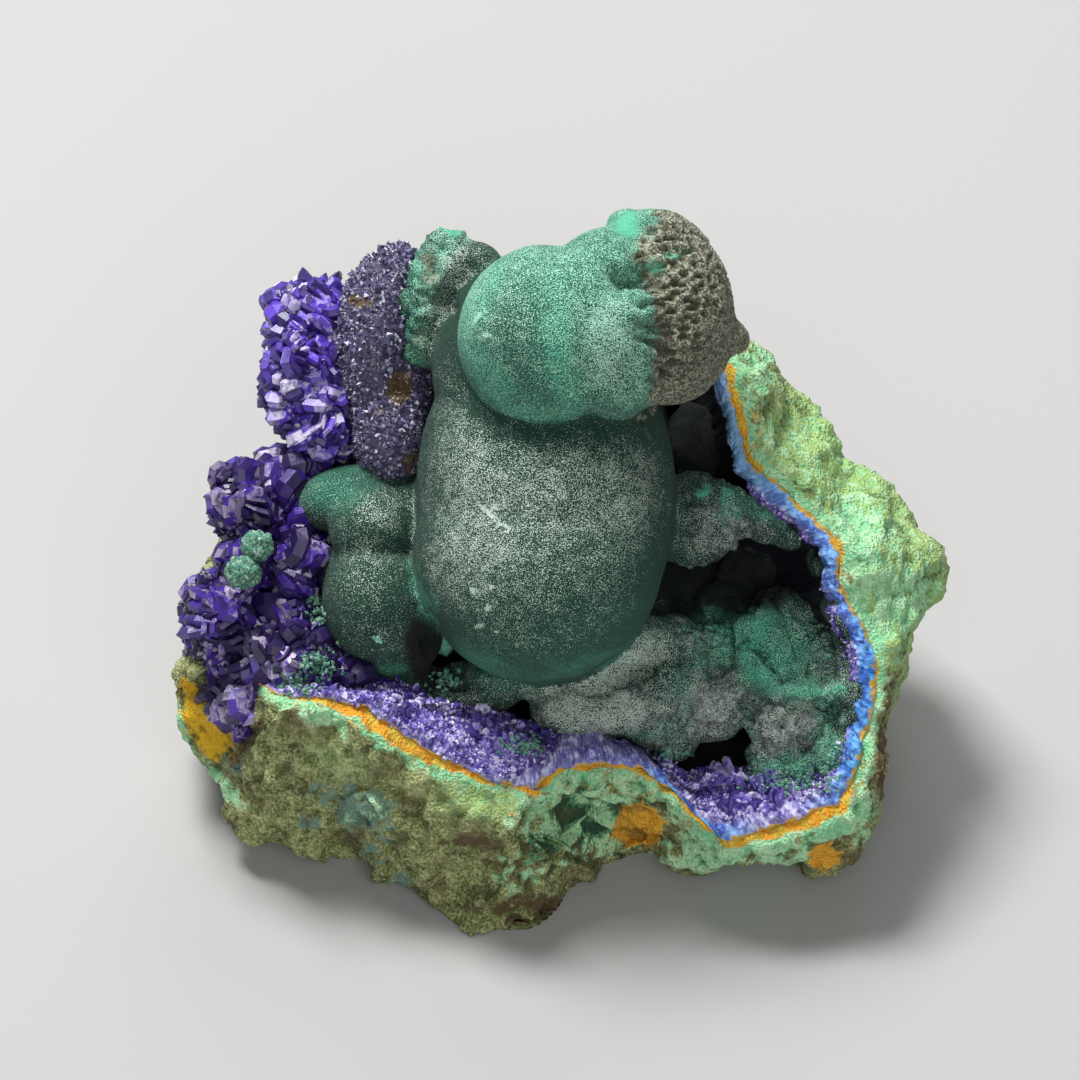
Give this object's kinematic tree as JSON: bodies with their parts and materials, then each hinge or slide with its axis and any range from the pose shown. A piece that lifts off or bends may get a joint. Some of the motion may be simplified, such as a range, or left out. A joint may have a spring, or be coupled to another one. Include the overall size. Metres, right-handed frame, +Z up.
{
  "type": "azurite specimen",
  "caption": "Hand-sized mineral specimen: a broken bowl of green-stained rock lined with blue azurite crystals and filled by a rounded, velvety malachite growth.",
  "frame": {"origin": "middle of the bounding box, on the surface that the specimen rests on", "axes": "+X to the right as the open face is looked at, +Y away from the viewer, +Z up; the open face leans back 45 degrees"},
  "size_m": [0.0496, 0.0388, 0.0405],
  "materials": {
    "green_ironstone": "rough, granular broken rock with mint green, olive and orange stains",
    "azurite_crust": "fibrous, glassy to satin, bright blue at the rock and violet on the inside",
    "velvet_malachite": "velvety with a fine pale sparkle",
    "azurite_blades": "glassy flat crystal faces, deep violet blue",
    "azurite_druse": "glittering small crystals, grey violet to bright violet",
    "pale_malachite": "dull, finely knobbly"
  },
  "bodies": {
    "root": {"matrix": "green_ironstone", "azurite_lining": "azurite_crust", "malachite": "velvet_malachite", "azurite_rosettes": "azurite_blades", "azurite_druse": "azurite_druse", "malachite_knobs": "pale_malachite"}
  },
  "joints": []
}
